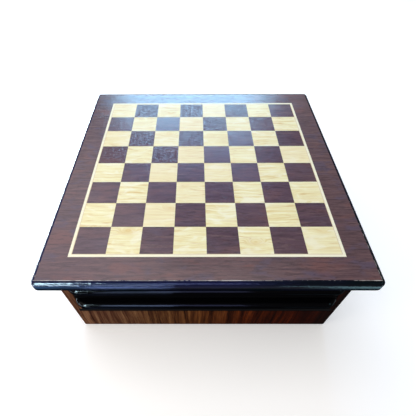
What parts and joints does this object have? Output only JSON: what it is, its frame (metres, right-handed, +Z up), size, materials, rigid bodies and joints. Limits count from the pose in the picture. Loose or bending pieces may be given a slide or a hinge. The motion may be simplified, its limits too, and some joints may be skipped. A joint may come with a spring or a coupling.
{
  "type": "chess box with drawers",
  "caption": "Square chess box: an inlaid playing board with a rounded dark edge on an overhung veneered case that holds two stacked shallow drawers with black finger-lip fronts.",
  "frame": {"origin": "middle of the base, on the surface that the pads stand on", "axes": "+X to the right seen from the front, +Y towards the back, +Z up; the drawers open towards -Y"},
  "size_m": [0.38, 0.38, 0.16],
  "materials": {
    "dark_veneer": "lacquered rosewood-coloured veneer with open pores",
    "light_veneer": "lacquered pale maple-coloured veneer with wavy figure",
    "border_veneer": "lacquered rosewood-coloured veneer with open pores",
    "edge_lacquer": "black gloss lacquer over solid edging, worn on the arris",
    "core_board": "raw fibreboard",
    "case_veneer": "satin rosewood-coloured veneer with upright grain",
    "inner_wood": "raw plywood",
    "box_wood": "sanded plain wood",
    "front_lacquer": "black gloss lacquer",
    "felt_lining": "wool felt",
    "felt_pad": "dense felt",
    "screw_steel": "zinc plated"
  },
  "bodies": {
    "case": {"board_core": "core_board", "dark_squares": "dark_veneer", "light_squares": "light_veneer", "inlay_front": "light_veneer", "inlay_back": "light_veneer", "inlay_left": "light_veneer", "inlay_right": "light_veneer", "border_front": "border_veneer", "border_back": "border_veneer", "border_left": "border_veneer", "border_right": "border_veneer", "edging_front": "edge_lacquer", "edging_back": "edge_lacquer", "edging_left": "edge_lacquer", "edging_right": "edge_lacquer", "case_left": "case_veneer", "case_right": "case_veneer", "case_back": "case_veneer", "base_panel": "case_veneer", "top_rail": "case_veneer", "deck_rail": "front_lacquer", "top_panel": "inner_wood", "drawer_shelf": "inner_wood", "deck_panel": "inner_wood", "bottom_panel": "inner_wood", "glue_blocks": "inner_wood", "board_screws": "screw_steel", "foot_pads": "felt_pad"},
    "upper_drawer": {"upper_front": "front_lacquer", "upper_lip": "front_lacquer", "upper_box_front": "box_wood", "upper_box_back": "box_wood", "upper_box_left": "box_wood", "upper_box_right": "box_wood", "upper_bottom": "box_wood", "upper_divider": "box_wood", "upper_felt": "felt_lining", "upper_screws": "screw_steel"},
    "lower_drawer": {"lower_front": "front_lacquer", "lower_lip": "front_lacquer", "lower_box_front": "box_wood", "lower_box_back": "box_wood", "lower_box_left": "box_wood", "lower_box_right": "box_wood", "lower_bottom": "box_wood", "lower_divider": "box_wood", "lower_felt": "felt_lining", "lower_screws": "screw_steel"}
  },
  "joints": [
    {"name": "upper_drawer_slide", "type": "slide", "parent": "case", "child": "upper_drawer", "axis": [0, -1, 0], "range_m": [0, 0.24]},
    {"name": "lower_drawer_slide", "type": "slide", "parent": "case", "child": "lower_drawer", "axis": [0, -1, 0], "range_m": [0, 0.24]}
  ]
}
